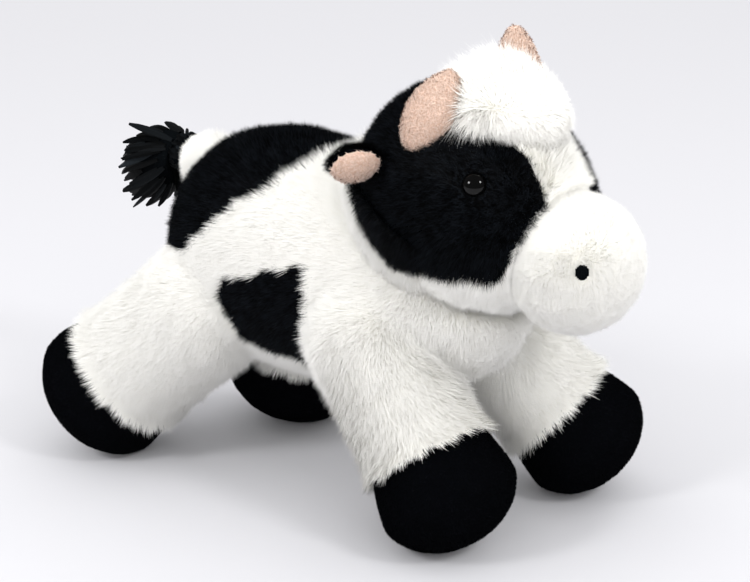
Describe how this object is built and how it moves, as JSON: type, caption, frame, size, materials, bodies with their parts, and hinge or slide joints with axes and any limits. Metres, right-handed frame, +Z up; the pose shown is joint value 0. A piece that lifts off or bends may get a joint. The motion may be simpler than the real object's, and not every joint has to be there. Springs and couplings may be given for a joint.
{
  "type": "plush cow",
  "caption": "Floppy stuffed plush cow with splayed weighted feet, a turning head, flapping ears, curly fleece horns and a yarn tassel on its tail.",
  "frame": {"origin": "on the ground, under the middle of the toy's bounding box", "axes": "+X towards the muzzle, +Y to the cow's left, +Z up"},
  "size_m": [0.3246, 0.196, 0.235],
  "materials": {
    "white_plush": "soft pile",
    "black_plush": "short dense pile",
    "velour": "very short pile",
    "fleece": "curly",
    "filling": "loose fibre",
    "pellets": "matte",
    "yarn": "cut yarn",
    "eye_plastic": "polished",
    "washer_plastic": "matte"
  },
  "bodies": {
    "torso": {"torso_cover": "white_plush", "saddle_patch": "black_plush", "flank_patch_right": "black_plush", "flank_patch_left": "black_plush", "torso_filling": "filling"},
    "neck": {"neck_cover": "white_plush"},
    "head": {"chin_panel": "white_plush", "blaze_panel": "white_plush", "face_patch_right": "black_plush", "face_patch_left": "black_plush", "muzzle_cover": "white_plush", "head_filling": "filling", "forelock": "white_plush", "horn_cover_right": "fleece", "horn_cover_left": "fleece", "horn_filling_right": "filling", "horn_filling_left": "filling", "eye_right": "eye_plastic", "eye_left": "eye_plastic", "eye_washer_right": "washer_plastic", "eye_washer_left": "washer_plastic", "nostril_right": "yarn", "nostril_left": "yarn"},
    "right_ear": {"ear_right": "black_plush", "ear_lining_right": "fleece"},
    "left_ear": {"ear_left": "black_plush", "ear_lining_left": "fleece"},
    "front_right_leg": {"leg_cover_front_right": "white_plush", "leg_filling_front_right": "filling", "hoof_cover_front_right": "velour", "hoof_pellets_front_right": "pellets"},
    "front_left_leg": {"leg_cover_front_left": "white_plush", "leg_filling_front_left": "filling", "hoof_cover_front_left": "velour", "hoof_pellets_front_left": "pellets"},
    "rear_right_leg": {"leg_cover_rear_right": "white_plush", "leg_filling_rear_right": "filling", "hoof_cover_rear_right": "velour", "hoof_pellets_rear_right": "pellets"},
    "rear_left_leg": {"leg_cover_rear_left": "white_plush", "leg_filling_rear_left": "filling", "hoof_cover_rear_left": "velour", "hoof_pellets_rear_left": "pellets"},
    "tail": {"tail_cover": "white_plush", "tail_filling": "filling", "tail_tassel": "yarn"}
  },
  "joints": [
    {"name": "head_turn", "type": "hinge", "parent": "torso", "child": "neck", "pos_m": [0.07034, 0.00086, 0.165], "axis": [0, 0, 1], "range_deg": [-20, 20]},
    {"name": "head_nod", "type": "hinge", "parent": "neck", "child": "head", "pos_m": [0.07034, 0.00086, 0.165], "axis": [0, 1, 0], "range_deg": [-15, 5]},
    {"name": "right_ear_flap", "type": "hinge", "parent": "head", "child": "right_ear", "pos_m": [0.05934, -0.04164, 0.179], "axis": [1, 0, 0], "range_deg": [-10, 25]},
    {"name": "left_ear_flap", "type": "hinge", "parent": "head", "child": "left_ear", "pos_m": [0.05934, 0.04336, 0.179], "axis": [-1, 0, 0], "range_deg": [-10, 25]},
    {"name": "front_right_leg_swing", "type": "hinge", "parent": "torso", "child": "front_right_leg", "pos_m": [0.04034, -0.03114, 0.092], "axis": [0, 1, 0], "range_deg": [-15, 15]},
    {"name": "front_left_leg_swing", "type": "hinge", "parent": "torso", "child": "front_left_leg", "pos_m": [0.04034, 0.03286, 0.092], "axis": [0, 1, 0], "range_deg": [-15, 15]},
    {"name": "rear_right_leg_swing", "type": "hinge", "parent": "torso", "child": "rear_right_leg", "pos_m": [-0.06566, -0.03614, 0.085], "axis": [0, 1, 0], "range_deg": [-15, 15]},
    {"name": "rear_left_leg_swing", "type": "hinge", "parent": "torso", "child": "rear_left_leg", "pos_m": [-0.06566, 0.03786, 0.085], "axis": [0, 1, 0], "range_deg": [-15, 15]},
    {"name": "tail_swing", "type": "hinge", "parent": "torso", "child": "tail", "pos_m": [-0.09066, 0.00086, 0.143], "axis": [0, 0, 1], "range_deg": [-25, 25]}
  ]
}
